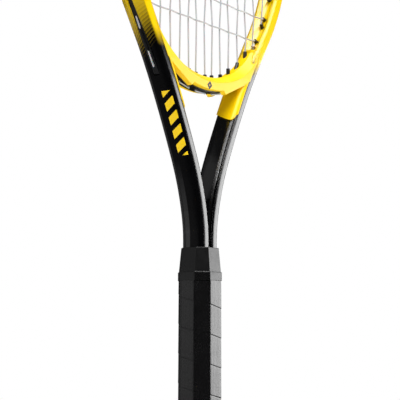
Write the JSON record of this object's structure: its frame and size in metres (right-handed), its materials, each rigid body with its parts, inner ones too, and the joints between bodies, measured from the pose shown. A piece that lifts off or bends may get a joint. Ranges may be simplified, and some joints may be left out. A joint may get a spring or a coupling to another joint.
{
  "type": "tennis racket",
  "caption": "Alloy tennis racket with an oval string bed, an open V throat closed by a moulded bridge, side-by-side shafts, a rubber collar and an eight-sided wrapped grip.",
  "frame": {"origin": "centre of the butt cap's flat bottom face", "axes": "+Z runs from the butt to the head's tip, X across the head, Y through the string bed; the front face looks along -Y"},
  "size_m": [0.2704, 0.0376, 0.6979],
  "materials": {
    "frame_paint": "gloss paint, yellow hoop fading to black shafts",
    "bridge": "gloss",
    "bumper": "satin",
    "grommet": "satin",
    "strings": "slightly translucent, off-white",
    "core": "rigid foam",
    "butt_cap": "satin",
    "staples": "plain wire",
    "grip": "tacky wrapped grip",
    "tape": "satin",
    "collar": "smooth"
  },
  "bodies": {
    "root": {"frame_tube": "frame_paint", "throat_bridge": "bridge", "bumper_guard": "bumper", "grommet_strip_left": "grommet", "grommet_strip_right": "grommet", "bridge_grommet_strip": "grommet", "main_strings": "strings", "cross_strings": "strings", "tie_off_knots": "strings", "handle_core": "core", "butt_cap": "butt_cap", "butt_cap_staples": "staples", "grip_wrap": "grip", "finishing_tape": "tape", "collar": "collar"}
  },
  "joints": []
}
